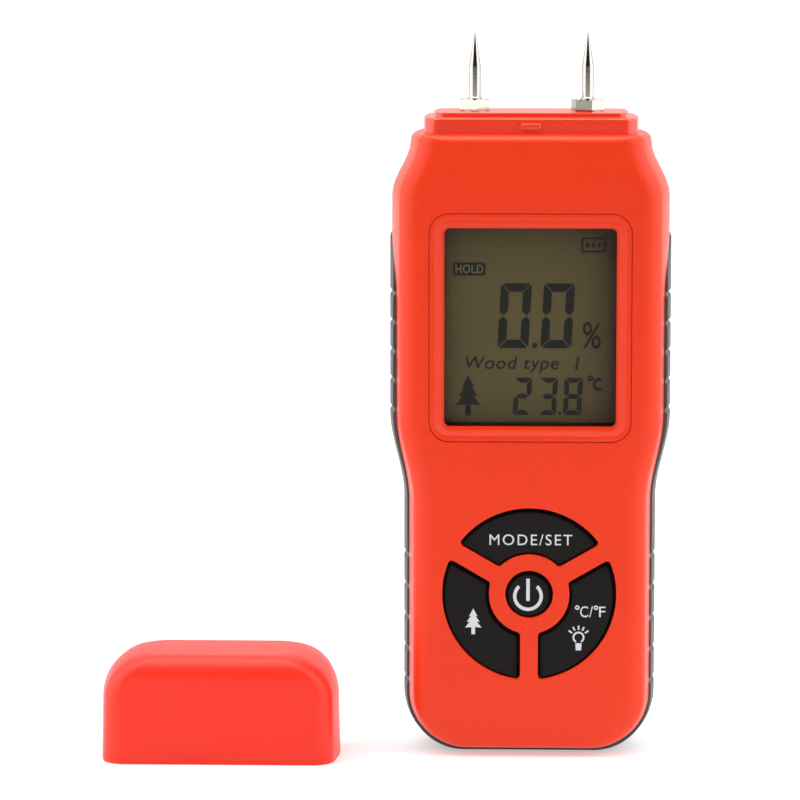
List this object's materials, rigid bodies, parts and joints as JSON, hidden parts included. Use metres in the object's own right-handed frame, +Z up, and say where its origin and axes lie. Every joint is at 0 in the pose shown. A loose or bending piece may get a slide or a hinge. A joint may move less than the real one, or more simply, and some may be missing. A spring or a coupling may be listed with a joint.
{
  "type": "moisture meter",
  "caption": "Handheld pin-type moisture meter for wood and flooring, with display, key ring, battery door, rubber grip band and a separate cap for the probe pins.",
  "frame": {"origin": "middle of the foot of the meter, where the rubber band meets the surface it stands on", "axes": "+Z up the meter from the foot to the probe pins, -Y is the side with the display and keys, +X is to the right when facing the display"},
  "size_m": [0.1176, 0.0363, 0.1489],
  "materials": {
    "case_red": "satin moulding",
    "head_red": "satin moulding",
    "grip_rubber": "matt",
    "key_rubber": "matt",
    "mat_rubber": "matt",
    "carbon": "matt",
    "brass": "machined",
    "pin_steel": "ground",
    "nut_nickel": "nickel plated",
    "window_clear": "clear",
    "lcd_glass": "grey green display",
    "white_plastic": "matt",
    "board_green": "solder mask",
    "black_plastic": "matt",
    "can_metal": "drawn can",
    "cell_jacket": "plain jacket",
    "wire_red": "insulation",
    "wire_black": "insulation",
    "wire_light": "insulation",
    "foam": "foam"
  },
  "bodies": {
    "housing": {"front_shell": "case_red", "rear_shell": "case_red", "grip_band": "grip_rubber", "probe_head": "head_red", "probe_insert_left": "brass", "probe_insert_right": "brass", "probe_pin_left": "pin_steel", "probe_pin_right": "pin_steel", "probe_nut_left": "nut_nickel", "probe_nut_right": "nut_nickel", "solder_tag_left": "brass", "solder_tag_right": "brass", "probe_lead_left": "wire_light", "probe_lead_right": "wire_light", "lens_bezel": "head_red", "lcd_lens": "window_clear", "lcd_panel": "lcd_glass", "lcd_light_guide": "white_plastic", "lcd_holder": "black_plastic", "zebra_strip": "mat_rubber", "backlight_leds": "white_plastic", "main_board": "board_green", "key_contacts": "brass", "keypad_mat": "mat_rubber", "processor": "black_plastic", "amplifier": "black_plastic", "buzzer": "black_plastic", "capacitor": "can_metal", "crystal": "can_metal", "chip_parts": "black_plastic", "thermistor": "black_plastic", "battery_cell_1": "cell_jacket", "battery_cell_2": "cell_jacket", "battery_cell_3": "cell_jacket", "battery_springs": "pin_steel", "battery_contacts": "pin_steel", "battery_lead_red": "wire_red", "battery_lead_black": "wire_black", "case_screws": "pin_steel", "board_screws": "pin_steel"},
    "power_key": {"key_power": "key_rubber", "pill_power": "carbon"},
    "mode_key": {"key_mode": "key_rubber", "pill_mode": "carbon"},
    "species_key": {"key_species": "key_rubber", "pill_species": "carbon"},
    "units_key": {"key_units": "key_rubber", "pill_units": "carbon"},
    "door": {"battery_door": "case_red", "door_foam": "foam"},
    "pin_cap": {"cap": "case_red"}
  },
  "joints": [
    {"name": "power_press", "type": "slide", "parent": "housing", "child": "power_key", "axis": [0, 1, 0], "range_m": [0, 0.001], "stiffness_N_per_m": 1500},
    {"name": "mode_press", "type": "slide", "parent": "housing", "child": "mode_key", "axis": [0, 1, 0], "range_m": [0, 0.001], "stiffness_N_per_m": 1500},
    {"name": "species_press", "type": "slide", "parent": "housing", "child": "species_key", "axis": [0, 1, 0], "range_m": [0, 0.001], "stiffness_N_per_m": 1500},
    {"name": "units_press", "type": "slide", "parent": "housing", "child": "units_key", "axis": [0, 1, 0], "range_m": [0, 0.001], "stiffness_N_per_m": 1500},
    {"name": "door_tilt", "type": "hinge", "parent": "housing", "child": "door", "pos_m": [0, 0.0126, 0.0125], "axis": [-1, 0, 0], "range_deg": [0, 60]},
    {"name": "cap_lift", "type": "slide", "parent": "housing", "child": "pin_cap", "axis": [0, 0, 1], "range_m": [0, 0.15]}
  ]
}
